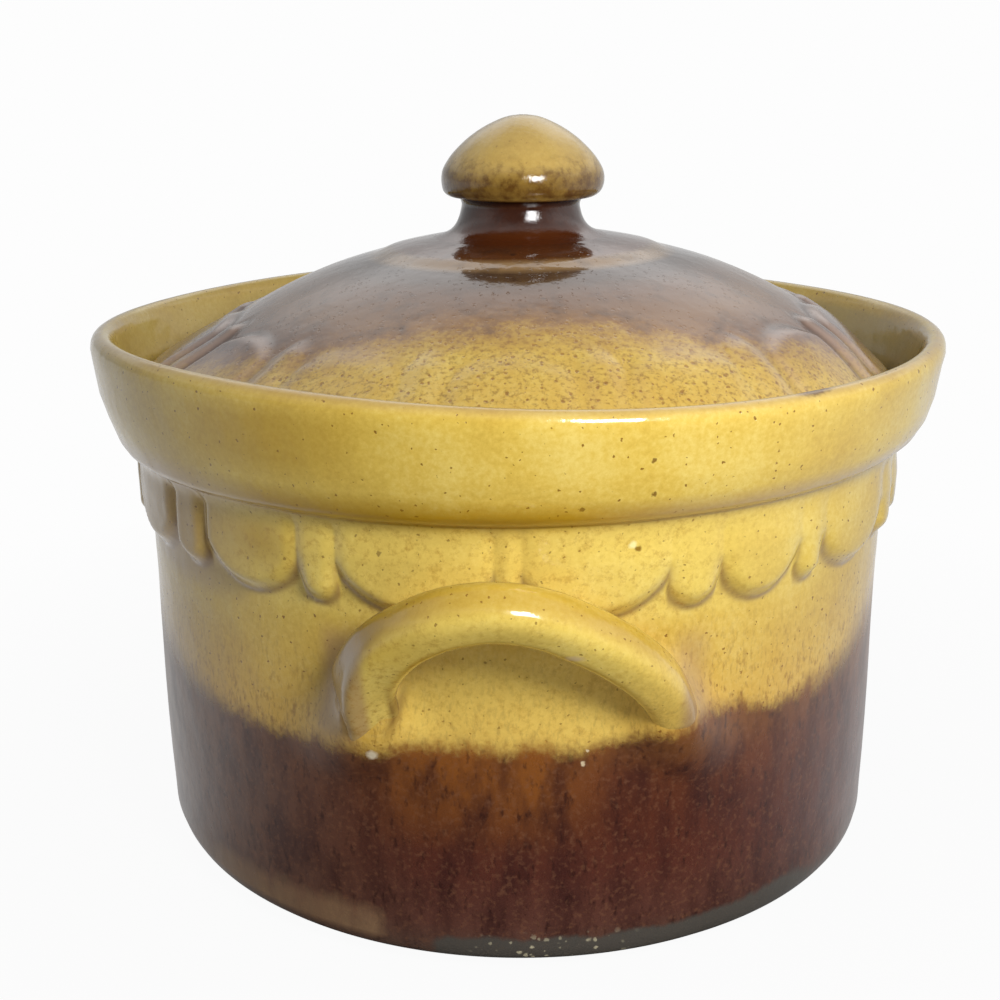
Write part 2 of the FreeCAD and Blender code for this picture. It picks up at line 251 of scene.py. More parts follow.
def skin(name, points, attributes=None):
    """Closed mesh over a grid of points, in mm: rows along the piece, columns round it.
    Each end row closes on its own centre. Faces point outwards when the columns run
    anticlockwise seen from the end of the rows."""
    rows, columns = points.shape[:2]
    flat = points.reshape(-1, 3)
    poles = np.stack([points[0].mean(0), points[-1].mean(0)])
    corners = np.concatenate([flat, poles]) * MM
    index = np.arange(rows * columns).reshape(rows, columns)
    following = np.roll(index, -1, axis=1)
    quads = np.stack([index[:-1], following[:-1], following[1:], index[1:]], -1).reshape(-1, 4)
    first, last = rows * columns, rows * columns + 1
    low = np.stack([np.full(columns, first), following[0], index[0]], -1)
    high = np.stack([np.full(columns, last), index[-1], following[-1]], -1)
    mesh = bpy.data.meshes.new(name)
    mesh.from_pydata(corners, [], quads.tolist() + low.tolist() + high.tolist())
    mesh.polygons.foreach_set("use_smooth", np.ones(len(mesh.polygons), bool))
    for label, values in (attributes or {}).items():
        layer = mesh.attributes.new(label, "FLOAT", "POINT")
        ends = [values[0].mean(), values[-1].mean()]
        layer.data.foreach_set("value", np.concatenate([values.ravel(), ends]).astype(np.float32))
    piece = bpy.data.objects.new(name, mesh)
    bpy.context.scene.collection.objects.link(piece)
    return piece


pot_step = 0.25
pot_outline = through([
    (3, 0), (50, 0), (83.5, 0), (85, 0), (88.4, 0.2), (91.4, 1.3), (94.4, 2.8), (96.6, 4.8),
    (97.4, 7), (97.6, 12), (97.85, 24), (97.9, 40), (97.65, 60), (97.6, 80), (97.8, 85),
    (100.2, 86.6), (100.5, 90), (100.7, 100), (101.0, 108.4), (101.6, 109.8), (103.2, 110.6),
    (104.7, 112), (105.9, 114.2), (107.2, 117.4), (108.4, 121.5), (109.1, 126), (109.6, 130.5),
    (109.9, 133), (109.3, 134.9), (107.6, 136), (105.8, 135.7), (104.6, 134.2), (103.9, 131.5),
    (102.3, 126), (100.2, 119), (99.2, 116), (97.6, 115), (94, 115), (92, 114.8), (91, 113.6),
    (90.8, 110), (90.8, 60), (90.8, 20), (89.6, 13), (86, 9.3), (80, 8), (50, 8), (3, 8)],
    step=pot_step)
# Rows lie closer together where the outline turns, in the band of tongues and at the handles.
pot_rows = 137
rise = pot_outline[:, 1]
before_lip = np.arange(len(rise)) <= np.argmax(rise)
heading = np.unwrap(np.arctan2(*np.gradient(pot_outline, axis=0).T))
turning = np.abs(np.gradient(heading)) / pot_step
band = before_lip & (rise > 85) & (rise < 108)
handle_zone = before_lip & (rise > 44) & (rise < 86)
pot_path = spread(pot_outline, 0.10 + 3.0 * turning + 1.3 * band + 0.32 * handle_zone, pot_rows)
outside = (np.arange(pot_rows) <= np.argmax(pot_path[:, 1]))[:, None]

# The tongues as they follow each other round the pot: a narrow one first, then a wide one.
wall_radius = 97.6
tongue_start = -53.0
tongue_widths = [8, 17, 5.6, 19.9, 3.3, 18.4, 7.1, 13, 5] + [17.6, 6.91] * 10 + [17.6]
tongue_edges = tongue_start + np.concatenate([[0], np.cumsum(tongue_widths)])
tongue_bottom = 88.0

# Columns lie closer together at the tongues' edges.
pot_columns = 720
fine = np.arange(-180, 180, 0.05)
apart = (fine[:, None] - tongue_edges[None, :-1] + 180) % 360 - 180
near_edge = hill(apart, 0, 1.1).sum(1)
degrees = spread(fine, 0.40 + near_edge, pot_columns + 1)[:-1]
alpha = np.radians(degrees)[None, :]


def scallop(across, height, half, bottom, drop):
    """Distance in mm inside the edge of a tongue: straight sides, then half an ellipse."""
    share = np.clip(np.abs(across) / half, 0, 0.999)
    edge = bottom + drop * (1 - np.sqrt(1 - share ** 2))
    slope = np.minimum(drop / half * share / np.sqrt(1 - share ** 2), 2)
    return np.minimum((height - edge) / np.sqrt(1 + slope ** 2), half - np.abs(across))


span = np.searchsorted(tongue_edges, (degrees - tongue_start) % 360 + tongue_start,
                       side="right") - 1
span = np.clip(span, 0, len(tongue_widths) - 1)
middle = (tongue_edges[span] + tongue_edges[span + 1]) / 2
half = np.radians(np.array(tongue_widths)[span] / 2) * wall_radius
across = np.radians((degrees - middle + 180) % 360 - 180) * wall_radius
wide = span % 2 == 1
height = pot_path[:, 1][:, None] + 0 * alpha
tongue_edge = scallop(across[None, :], height, half[None, :],
                      bottom=np.where(wide, tongue_bottom, tongue_bottom + 0.8)[None, :],
                      drop=np.where(wide, 12.5, 7.0)[None, :])
# How deep the gaps between the tongues are: the mould filled them up towards the collar, and more
# so on the right.
upper_cut = from_table(degrees, (-180, 0.5), (-60, 0.75), (-42, 0.6), (-27, 0.25), (0, 0.3),
                       (20, 0.15), (60, 0.08), (180, 0.5))[None, :]
cut = np.where(height < 96, from_table(height, (90, 1), (93, 0.85), (96, 0.5)),
               0.5 + (upper_cut - 0.5) * smooth(height, 96, 101)) * smooth(height, 110, 105)
face = np.clip(1 - (1 - smooth(tongue_edge, -1.6, 3.6)) * cut, 0, 1)
pillow = (0.1 + 0.35 * np.sin(alpha)) * smooth(tongue_edge, 0.5, 7) * smooth(height, 109, 100)
in_band = outside & (height > 80) & (height < 109.5)
radius = pot_path[:, 0][:, None] + 0 * alpha
radius = np.where(in_band, wall_radius + (radius - wall_radius) * face + pillow, radius)

# The fired pot isn't quite true: its rim waves by up to 1.6 mm, as does the fold under its collar,
# and its wall sways to the left and right by less than a millimetre.
wave = -0.3
for turns, cosine_part, sine_part in ((1, 0.51, -0.34), (2, 0.18, -0.44), (3, -0.55, -0.59)):
    wave = wave + cosine_part * np.cos(turns * alpha) + sine_part * np.sin(turns * alpha)
fold = from_table(degrees, (-180, 0), (-100, 0), (-82, -0.3), (-62, -1.6), (-48, -1.3),
                  (-30, -0.6), (-12, -0.2), (0, 0), (20, 0.5), (42, 0.9), (57, 1.4), (75, 0.7),
                  (95, 0), (180, 0))[None, :]
sway = from_table(height, (0, -0.8), (3, 0.3), (5, 0.6), (8, 0.4), (30, 0.1), (60, -0.2),
                  (80, -0.2), (100, -0.3), (110, -0.4), (116, -0.1), (121, -0.2), (128, -0.3),
                  (136, 0.1))
pot_turn = alpha - math.pi / 2
pot_grid = np.stack([radius * np.cos(pot_turn) + sway, radius * np.sin(pot_turn),
                     height + wave * smooth(height, 112, 132)
                     + outside * fold * hill(height, 110, 5)], -1)

# The middle line of a handle's strap, as (across, up) in its own plane, which leans out from
# the wall; the pot's wall swells towards it where its clay was smeared on.
handle_depth = 92.5
foot_height = 65.0
lean = math.radians(35)
strap_line = through([
    (-36.3, -20), (-33.9, -11.2), (-31.9, -0.3), (-32.3, 10.5), (-28.8, 21.3), (-21.6, 30.6),
    (-13.1, 36.4), (-3.9, 38.3), (5.7, 35.9), (14.1, 30.1), (21.9, 23), (28.9, 13.9), (33.3, 3.5),
    (35.3, -6.5), (37.5, -16.9)], step=1.4)
strap_radius = from_table(np.linspace(0, 1, len(strap_line)), (0, 6.5), (0.2, 6.2), (0.5, 5.6),
                          (0.8, 5.7), (1, 5.0))


def placed(across, up, away):
    """Point of the leaning plane of a strap, before it is turned to its side of the pot."""
    out = handle_depth + up * math.sin(lean) + away * math.cos(lean)
    return np.stack([across, -out, foot_height + up * math.cos(lean) - away * math.sin(lean)], -1)


def short_of(push, gap, height):
    """How far a point pushed out of the wall lies from the smeared clay: the lesser of its two
    distances, less a quarter of the weld's size where both are equal, falling with the square
    of their difference; the weld is widest at the strap's feet."""
    weld = from_table(height, (44, 4), (52, 12), (60, 14), (70, 7), (86, 4))
    smear = weld / 4 * np.clip(1 - np.abs(push - gap) / weld, 0, 1) ** 2
    return np.minimum(push, gap) - smear


strap_middle = placed(strap_line[:, 0], strap_line[:, 1], 0 * strap_line[:, 0])
near_rows = np.flatnonzero(outside[:, 0] & (pot_path[:, 1] > 34) & (pot_path[:, 1] < 100))
near = pot_grid[near_rows]
outwards = np.stack([np.cos(pot_turn), np.sin(pot_turn), 0 * pot_turn], -1)
# Four rounds settle how far the wall comes out to the clay.
push = np.zeros(near.shape[:2])
most_push = 6.0
for _ in range(4):
    moved = near + push[..., None] * outwards
    gap = np.full(push.shape, np.inf)
    for side in (1, -1):
        apart = np.linalg.norm(moved[:, :, None, :] * [side, side, 1] - strap_middle, axis=3)
        gap = np.minimum(gap, (apart - strap_radius).min(2))
    push = np.clip(push - short_of(push, gap, near[..., 2]), 0, most_push)
pot_grid[near_rows] = near + push[..., None] * outwards


def glaze_line(degrees):
    """Height in mm at which the honey glaze meets the iron one, by the angle round the pot."""
    return from_table(
        degrees, (-180, 60), (-120, 62), (-85, 64), (-60, 57.5), (-51, 55), (-41, 55),
        (-30, 54.5), (-22, 56.5), (-14, 57.5), (0, 57.6), (11, 57.6), (16.5, 62), (20, 61.5),
        (22, 62.5), (26, 64), (34, 60.5), (47, 59.5), (60, 63), (85, 68), (120, 63), (180, 60))


def window(degrees, *corners):
    """1 between the two middle angles, falling to 0 at the two outer ones."""
    return np.interp(degrees, corners, [0, 1, 1, 0])[None, :]


# The glaze gathered in the cove under the collar and in the grooves round the tongues on the
# left, where its olive also stands for painted shade, and lies thick and olive in two patches
# left of the front. Pinkish buff is glaze worn thin on the lip's top and run thin over the
# smeared clay beside the right leg of the strap. In the cove on both sides, on the far left of
# the band and over the smeared clay beside the left leg it is a painted reflection of the room,
# and along the tongues' lower edges it is painted shade and reflection.
in_cove = outside * smooth(height, 108.8, 109.8) * smooth(height, 114.5, 112)
groove = hill(tongue_edge, 0, 1.0) * cut * in_band
low_edge = hill(tongue_edge, -0.5, 0.9) * in_band * smooth(height, 101, 96)
olive = (hill(degrees, -29, 10)[None, :] * hill(height, 126, 5.5)
         + 0.8 * hill(degrees, -34, 5)[None, :] * hill(height, 101, 6))
far_left = (window(degrees, -100, -62, -50, -34) * smooth(height, 80, 86)
            * smooth(height, 118, 108))
smeared = smooth(height, 55, 61) * smooth(height, 86, 78) * (
    0.8 * window(degrees, -26.5, -24.5, -20, -18.5) + 0.6 * window(degrees, 20, 22, 24, 27))
# Painted shade along the tongues' lower edges and in a slanted line in the crease beside the left
# leg of the strap, and a painted shadow inside the lip, where the lid meets it.
slanted = degrees[None, :] + 14.7 - 0.15 * (height - 66)
shaded_crease = np.exp(-(slanted / 0.6) ** 2 - ((height - 66) / 5) ** 2)
soot_top = 10.3 + 1.5 * smooth(degrees, 10, 45)[None, :]
pot = skin("pot", pot_grid, {
    "above": np.where(outside, height - glaze_line(degrees)[None, :], 60.0),
    "blur": 1.0 + 2.4 * smooth(np.abs(degrees)[None, :] + 0 * height, 35, 75),
    "pool_and_shade": outside * np.clip(1.2 * in_cove * window(degrees, -48, -30, 8, 20) + olive
                              + 0.2 * groove * window(degrees, -50, -35, -12, -5), 0, 1),
    # Pinkish buff: thin glaze on the lip and beside the right leg, a painted reflection in the
    # cove's sides, on the far left and beside the left leg, and painted shade and reflection under
    # the tongues.
    "thin_glaze_and_sheen": outside * np.clip(
        0.8 * in_cove * (1 - window(degrees, -52, -34, 6, 18)) + 0.6 * low_edge
        + 0.6 * hill(height, 136, 1.0) + 0.8 * far_left + smeared, 0, 1),
    # Painted light: a brighter yellow on the tongues, on the wall under the arch and on the
    # collar's lower part left of the front, which the lamp leaves in shade; it also holds the amber
    # mottle.
    "clear": outside * np.clip(
        window(degrees, -46, -36, 20, 45) * smooth(height, 112, 109) * smooth(height, 84, 88)
        + 0.8 * window(degrees, -18, -12, 12, 18) * smooth(height, 84, 76)
        + 0.6 * window(degrees, -40, -34, -18, -10) * hill(height, 119.5, 4), 0, 1),
    "lining": ~outside * smooth(height, 135, 130) * (
        1 - 0.6 * window(degrees, -170, -140, -80, -55)),
    "painted_shade": outside * (0.45 * low_edge + shaded_crease) + ~outside * 0.45 * hill(height, 134.7, 0.7),
    "gold": outside * smooth(height, 30, 50) * window(degrees, -22, -13, 3, 13),
    "soot": outside * smooth(height, soot_top + 1.2, soot_top - 1.2) * window(
        degrees, -14, -9, 40, 62),
    "crumbs": outside * smooth(height, 10, 8.5) * window(degrees, -7, -2, 11, 17),
    "tan": outside * hill(height, 9.5, 5) * window(degrees, -75, -48, -20, -12)})
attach(pot, "pot")
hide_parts("pot_body")


def fired(name, ior=1.6):
    """New glossy material, with the place on the piece in millimetres."""
    made = bpy.data.materials.new(name)
    made.use_nodes = True
    tree = made.node_tree
    tree.nodes.clear()
    shader = add(tree, "ShaderNodeBsdfPrincipled", {"IOR": ior})
    add(tree, "ShaderNodeOutputMaterial", {"Surface": shader.outputs[0]})
    metres = add(tree, "ShaderNodeTexCoord").outputs["Object"]
    place = add(tree, "ShaderNodeMapping", {"Vector": metres, "Scale": (1000, 1000, 1000)})
    return made, tree, shader, place.outputs[0]


def over(tree, below, colour, share, strength=1.0):
    """A colour laid over the one below it by a share, which is first weakened to a strength."""
    part = add(tree, "ShaderNodeMath", {0: share, 1: strength}, operation="MULTIPLY",
               use_clamp=True)
    return add(tree, "ShaderNodeMix", {0: part.outputs[0], 6: below, 7: colour},
               data_type="RGBA").outputs[2]


def stained(tree, below, *stains):
    """Colours laid over the one below, each by the piece's attribute of that name: its name, its
    hex colour and its strength."""
    for name, colour, strength in stains:
        share = add(tree, "ShaderNodeAttribute", attribute_name=name).outputs["Fac"]
        below = over(tree, below, linear(colour), share, strength)
    return below


def clouded(tree, below, colour, value, low, high, strength):
    """A hex colour laid over the one below where a value passes low, and in full from high."""
    part = add(tree, "ShaderNodeMapRange", {"Value": value, "From Min": low, "From Max": high})
    return over(tree, below, linear(colour), part.outputs[0], strength)


def specks(tree, place, spacing, radius, share):
    """1 inside round spots, in a share of the cells of a random grid, up to a radius in mm."""
    cells = add(tree, "ShaderNodeTexVoronoi", {"Vector": place, "Scale": 1 / spacing})
    luck = add(tree, "ShaderNodeSeparateColor", {"Color": cells.outputs["Color"]})
    reach = add(tree, "ShaderNodeMapRange", {
        "Value": luck.outputs["Red"], "From Min": 1 - share, "To Max": radius / spacing})
    inside = add(tree, "ShaderNodeMath", {0: reach.outputs[0], 1: cells.outputs["Distance"]},
                 operation="SUBTRACT")
    soft_edge = 0.3 * radius / spacing
    return add(tree, "ShaderNodeMapRange", {
        "Value": inside.outputs[0], "From Max": soft_edge}).outputs[0]


def honey(tree, place, share, size):
    """Honey glaze over buff clay: yellow in clouds of 22 mm and grains of 1.3 mm, with brown
    specks up to size across and a few darker ones up to twice that, whose edges are ragged by
    grains of 0.8 mm; gives its colour and its specks."""
    cloud = add(tree, "ShaderNodeTexNoise", {"Vector": place, "Scale": 1 / 22, "Detail": 2.0})
    grain = add(tree, "ShaderNodeTexNoise", {"Vector": place, "Scale": 1 / 1.3, "Detail": 4.0,
                                             "Roughness": 0.7})
    tone = add(tree, "ShaderNodeMix", {0: 0.5, 2: grain.outputs["Fac"], 3: cloud.outputs["Fac"]})
    yellow = add(tree, "ShaderNodeValToRGB", {"Fac": tone.outputs[0]}, stops=[
        (0.34, "#CFAB46"), (0.50, "#DFBE55"), (0.66, "#EBD070")])
    rag = add(tree, "ShaderNodeTexNoise", {"Vector": place, "Scale": 1 / 0.8, "Detail": 2.0})
    shaken = add(tree, "ShaderNodeVectorMath", {0: place, 1: rag.outputs["Color"]},
                 operation="ADD")
    small = specks(tree, shaken.outputs[0], spacing=1.5, radius=size / 2, share=share)
    large = specks(tree, shaken.outputs[0], spacing=7, radius=size, share=0.4 * share)
    speckled = over(tree, yellow.outputs[0], linear("#80520C"), small, 0.75)
    spots = add(tree, "ShaderNodeMath", {0: small, 1: large}, operation="MAXIMUM")
    return over(tree, speckled, linear("#5A360C"), large, 0.65), spots.outputs[0]


def rippled(tree, shader, place, spots, peel, swell, swell_size, swell_detail, pit):
    """Orange-peel gloss, with heights in mm: a fine peel of 1.8 mm, a broad swell of its size,
    and a pit in each speck. The real peel is finer, and is drawn as coarse as it needs to show."""
    fine = add(tree, "ShaderNodeTexNoise", {"Vector": place, "Scale": 1 / 1.8, "Detail": 2.0})
    broad = add(tree, "ShaderNodeTexNoise", {"Vector": place, "Scale": 1 / swell_size,
                                             "Detail": swell_detail})
    relief = add(tree, "ShaderNodeMath", {0: fine.outputs["Fac"], 1: peel}, operation="MULTIPLY")
    for part, height in ((broad.outputs["Fac"], swell), (spots, pit)):
        relief = add(tree, "ShaderNodeMath", {0: part, 1: height, 2: relief.outputs[0]},
                     operation="MULTIPLY_ADD")
    bump = add(tree, "ShaderNodeBump", {"Height": relief.outputs[0], "Distance": MM})
    tree.links.new(bump.outputs[0], shader.inputs["Normal"])


# Honey glaze gives a deep, wet yellow with a soft orange-peel gloss; the iron glaze under it is
# amber where it is thin and red-brown to violet in the thick, duller, with short runs in it.
pot_glaze, tree, shader, place = fired("honey_and_iron_glaze")
yellow, spots = honey(tree, place, share=0.62, size=0.75)
# Where the honey glaze lies over the iron one it is warmer, with rust drawn downwards in it.
above = add(tree, "ShaderNodeAttribute", attribute_name="above").outputs["Fac"]
warm = add(tree, "ShaderNodeMapRange", {"Value": above, "From Min": 30.0, "From Max": 2.0})
yellow = over(tree, yellow, linear("#D79A42"), warm.outputs[0], 0.40)
drawn = add(tree, "ShaderNodeMapping", {"Vector": place, "Scale": (1, 1, 0.4)})
rust = add(tree, "ShaderNodeTexNoise", {"Vector": drawn.outputs[0], "Scale": 1 / 1.1,
                                        "Detail": 3.0, "Roughness": 0.65})
rust_part = add(tree, "ShaderNodeMapRange", {"Value": rust.outputs["Fac"], "From Min": 0.50,
                                             "From Max": 0.70})
rusty = add(tree, "ShaderNodeMath", {0: rust_part.outputs[0], 1: warm.outputs[0]},
            operation="MULTIPLY")
yellow = over(tree, yellow, linear("#8F5E20"), rusty.outputs[0], 0.7)
# It is olive where it pooled and where shade is painted, pinkish buff where it is thin and where
# a reflection and shade are painted, and where it is clear it is painted a brighter yellow, which
# is painted light, with an amber mottle.
yellow = stained(tree, yellow, ("clear", "#FBE37C", 0.4), ("pool_and_shade", "#B48A08", 0.8),
                 ("thin_glaze_and_sheen", "#B08C66", 0.75))
mottle = add(tree, "ShaderNodeTexNoise", {"Vector": place, "Scale": 1 / 1.8, "Detail": 5.0,
                                          "Roughness": 0.75})
mottle_part = add(tree, "ShaderNodeMapRange", {"Value": mottle.outputs["Fac"], "From Min": 0.50,
                                               "From Max": 0.70})
mottled = add(tree, "ShaderNodeMath", {
    0: mottle_part.outputs[0],
    1: add(tree, "ShaderNodeAttribute", attribute_name="clear").outputs["Fac"]},
    operation="MULTIPLY")
yellow = over(tree, yellow, linear("#A87420"), mottled.outputs[0], 0.5)
yellow = over(tree, yellow, linear("#7A4E14"), spots, 0.4)

# The iron glaze has a painted sheen of the pale room on the left, where it is painted paler; it is
# golden in the middle and clouded, with dark runs and grit, and at the foot it is worn to the tan
# clay or sooted, with crumbs of grog stuck to it.
patch = add(tree, "ShaderNodeTexNoise", {"Vector": drawn.outputs[0], "Scale": 1 / 7,
                                         "Detail": 4.0, "Roughness": 0.6})
dashes = add(tree, "ShaderNodeTexNoise", {"Vector": drawn.outputs[0], "Scale": 1 / 1.6,
                                          "Detail": 3.0, "Roughness": 0.6})
grit = add(tree, "ShaderNodeTexNoise", {"Vector": place, "Scale": 1 / 1.2, "Detail": 3.0})
parts = add(tree, "ShaderNodeSeparateXYZ", {"Vector": place})
depth = add(tree, "ShaderNodeMapRange", {"Value": parts.outputs["Z"], "From Max": 100.0})
brown = add(tree, "ShaderNodeValToRGB", {"Fac": depth.outputs[0]}, stops=[
    (0.05, "#62493C"), (0.13, "#623A2E"), (0.27, "#5C2D20"), (0.40, "#5C2C1A"),
    (0.50, "#6A381E"), (0.58, "#7A4A22")]).outputs[0]
# A painted sheen of the pale room: the brown is painted paler and greyer towards the left.
side = add(tree, "ShaderNodeMapRange", {"Value": parts.outputs["X"], "From Min": -20.0,
                                        "From Max": -75.0})
brown = over(tree, brown, linear("#7E5E46"), side.outputs[0], 0.6)
brown = stained(tree, brown, ("gold", "#8E5214", 0.75))
for noise, colour, low, high, strength in ((patch, "#3C1915", 0.42, 0.66, 0.7),
                                           (dashes, "#32140F", 0.56, 0.70, 0.65),
                                           (grit, "#85583C", 0.52, 0.72, 0.4)):
    brown = clouded(tree, brown, colour, noise.outputs["Fac"], low, high, strength)
for name, colour, low, high, strength in (("tan", "#A88560", 1.0, 1.55, 0.85),
                                          ("soot", "#55514A", 0.85, 1.15, 0.92)):
    mask = add(tree, "ShaderNodeAttribute", attribute_name=name).outputs["Fac"]
    torn = add(tree, "ShaderNodeMath", {0: mask, 1: patch.outputs["Fac"]}, operation="ADD")
    brown = clouded(tree, brown, colour, torn.outputs[0], low, high, strength)
shaken = add(tree, "ShaderNodeVectorMath", {0: place, 1: grit.outputs["Color"]}, operation="ADD")
crumbs = add(tree, "ShaderNodeMath", {
    0: specks(tree, shaken.outputs[0], spacing=1.6, radius=0.9, share=0.6),
    1: add(tree, "ShaderNodeAttribute", attribute_name="crumbs").outputs["Fac"]},
    operation="MULTIPLY")
brown = over(tree, brown, linear("#CFC5A4"), crumbs.outputs[0], 0.85)

# The two glazes ran into each other; the line between them wanders by a few millimetres.
wander = add(tree, "ShaderNodeMath", {0: patch.outputs["Fac"], 1: 0.5}, operation="SUBTRACT")
wandering = add(tree, "ShaderNodeMath", {0: wander.outputs[0], 1: 9.0, 2: above},
                operation="MULTIPLY_ADD")
ragged = add(tree, "ShaderNodeMath", {0: grit.outputs["Fac"], 1: 3.0, 2: wandering.outputs[0]},
             operation="MULTIPLY_ADD")
blurred = add(tree, "ShaderNodeMath", {
    0: ragged.outputs[0],
    1: add(tree, "ShaderNodeAttribute", attribute_name="blur").outputs["Fac"]},
    operation="DIVIDE")
honey_share = add(tree, "ShaderNodeMapRange", {"Value": blurred.outputs[0], "From Min": -1.5,
                                               "From Max": 4.5}, interpolation_type="SMOOTHSTEP")
coat = over(tree, brown, yellow, honey_share.outputs[0])
# The painted shade darkens the tongues' lower edges, the creases at the left leg, the strap's back
# and the inside of the lip.
coat = stained(tree, coat, ("lining", "#A09468", 0.9), ("painted_shade", "#5A3216", 0.8))
# Chips, scuffs and one burst bubble on the front: x and z of the middle, width, flatness, colour.
# The depth counts only a little, so that a chip takes in the wall's curve, and the grit moves the
# places about by half a millimetre.
chip_radius = 98.5
chip_depth = 0.06
grit_shift = 0.5
for x, z, width, flatness, colour in (
        (-31.3, 55.9, 1.6, 1.0, "#E8DABC"), (14.8, 53.8, 0.7, 0.8, "#DCC8A4"),
        (15.6, 56.9, 0.5, 0.8, "#DCC8A4"), (11.9, 86.6, 2.6, 2.2, "#D9BE8C"),
        (25.2, 103.9, 0.9, 1.2, "#8A6820"), (24.1, 104.8, 1.1, 1.0, "#F6EDA8"),
        (61.5, 135.5, 5.5, 5.0, "#6A4A22")):
    near = add(tree, "ShaderNodeVectorMath", {
        0: shaken.outputs[0], 1: (1, chip_depth, flatness)}, operation="MULTIPLY")
    apart = add(tree, "ShaderNodeVectorMath", {
        0: near.outputs[0],
        1: (x + grit_shift, -chip_depth * math.sqrt(chip_radius ** 2 - x ** 2),
            (z + grit_shift) * flatness)}, operation="DISTANCE")
    chip = add(tree, "ShaderNodeMapRange", {"Value": apart.outputs["Value"], "From Min": width,
                                            "From Max": width * 0.5})
    coat = over(tree, coat, linear(colour), chip.outputs[0], 0.9)
tree.links.new(coat, shader.inputs["Base Color"])
dull = add(tree, "ShaderNodeMapRange", {"Value": honey_share.outputs[0], "To Min": 0.24,
                                        "To Max": 0.10})
worn = add(tree, "ShaderNodeMath", {0: patch.outputs["Fac"], 1: 0.10, 2: dull.outputs[0]},
           operation="MULTIPLY_ADD")
tree.links.new(worn.outputs[0], shader.inputs["Roughness"])
rippled(tree, shader, place, spots, peel=0.05, swell=0.25, swell_size=9, swell_detail=1.0,
        pit=-0.03)
pot.data.materials.append(pot_glaze)


# Handles
# Two straps of stoneware clay, rolled round, bent into an arch, pressed on to the wall by their
# ends and glazed with the pot.
def strap(name, node, side):
    """Tube along the middle line, nearly square because the high powers of its two half widths
    add up, and turned about the pot's axis so that it stands square on the wall everywhere.
    The left leg is squarer than the rest and twisted, so that its flat side faces forwards."""
    strap_columns = 72
    ring = np.linspace(-math.pi, math.pi, strap_columns, endpoint=False)
    cosine, sine = np.cos(ring), np.sin(ring)
    along = np.linspace(0, 1, len(strap_line))[:, None]
    power = from_table(along, (0.22, 5.5), (0.36, 2.8))
    squarer = (np.abs(cosine) ** power + np.abs(sine) ** power) ** (-1 / power)
    direction = np.gradient(strap_line, axis=0)
    direction /= np.linalg.norm(direction, axis=1)[:, None]
    twist = np.radians(from_table(along, (0.22, -34), (0.36, 0)))
    aside = strap_radius[:, None] * squarer * (cosine * np.cos(twist) - sine * np.sin(twist))
    away = strap_radius[:, None] * squarer * (cosine * np.sin(twist) + sine * np.cos(twist))
    offset = placed(strap_line[:, :1] + aside * direction[:, 1:],
                    strap_line[:, 1:] - aside * direction[:, :1], away) - strap_middle[:, None]
    turn = np.arctan2(strap_middle[:, 0], -strap_middle[:, 1])[:, None]
    points = strap_middle[:, None] + np.stack([
        offset[..., 0] * np.cos(turn) - offset[..., 1] * np.sin(turn),
        offset[..., 0] * np.sin(turn) + offset[..., 1] * np.cos(turn), offset[..., 2]], -1)
    x, height = points[..., 0], points[..., 2]
    angle = np.degrees(np.arctan2(x, -points[..., 1]))
    # Painted shade along the strap's back where it nears the wall, in the crease inside the left
    # leg, on its upper side and along its lower edge; a painted sheen on the left leg's flat side;
    # and painted light on its front face, brightest on the left.
    contact_shade = hill(ring, -2.25, 0.16)[None, :] * smooth(height, 62, 74)
    inner_crease_shade = smooth(x, -27.6, -26.4) * smooth(along, 0.40, 0.30) * hill(height, 69, 6)
    shoulder = hill(angle, -15, 6) * hill(height, 88, 6)
    upper_side = smooth(-cosine, 0.7, 1.0)[None, :] * smooth(height, 78, 88)
    lower_edge = hill(ring, 1.0, 0.16)[None, :] * (
        smooth(along, 0.22, 0.35) * smooth(along, 0.80, 0.65))
    left_face = smooth(x, -30.3, -32.3) * smooth(height, 92, 82)
    right_face = smooth(x, 34, 37.5) * smooth(height, 90, 76)
    piece = skin(name, (points * [side, side, 1])[:, ::-1], {
        "above": (height - glaze_line(angle) + 1)[:, ::-1],
        "blur": np.full(aside.shape, 1.0),
        "pool_and_shade": np.clip(0.5 * shoulder + 0.6 * upper_side + 0.7 * lower_edge, 0, 1)[:, ::-1],
        "thin_glaze_and_sheen": (0.9 * left_face + right_face)[:, ::-1],
        "clear": 0.7 * smooth(sine, 0, 0.8)[None, ::-1] * (1 + 0.8 * smooth(along, 0.5, 0.3)),
        "painted_shade": np.clip(0.9 * contact_shade + 0.9 * inner_crease_shade, 0, 1)[:, ::-1]})
    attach(piece, "pot")
    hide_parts(node)
    piece.data.materials.append(pot_glaze)


strap("front_handle", "handle_front", 1)
strap("back_handle", "handle_back", -1)


# Lid
# A thin thrown dome of stoneware, with moulded petals round it, that lies loose on the seat inside
# the collar, a little to the right and tilted. Iron glaze ran down from the knob over a honey edge.
dome_radius = 148.5
dome_top = 158.5
dome_centre = dome_top - dome_radius
lid_radius = 97.4
lid_bottom = 115.25
lid_thickness = 6.5
lid_foot = 92.0
lid_aside = 0.95
lid_lean = 0.02


def dome(radius, offset=0.0):
    """Points of a ball about the dome's centre, as (distance from the axis, height)."""
    radius = np.array(radius, float)
    return np.stack([radius, dome_centre + np.sqrt((dome_radius + offset) ** 2 - radius ** 2)], -1)


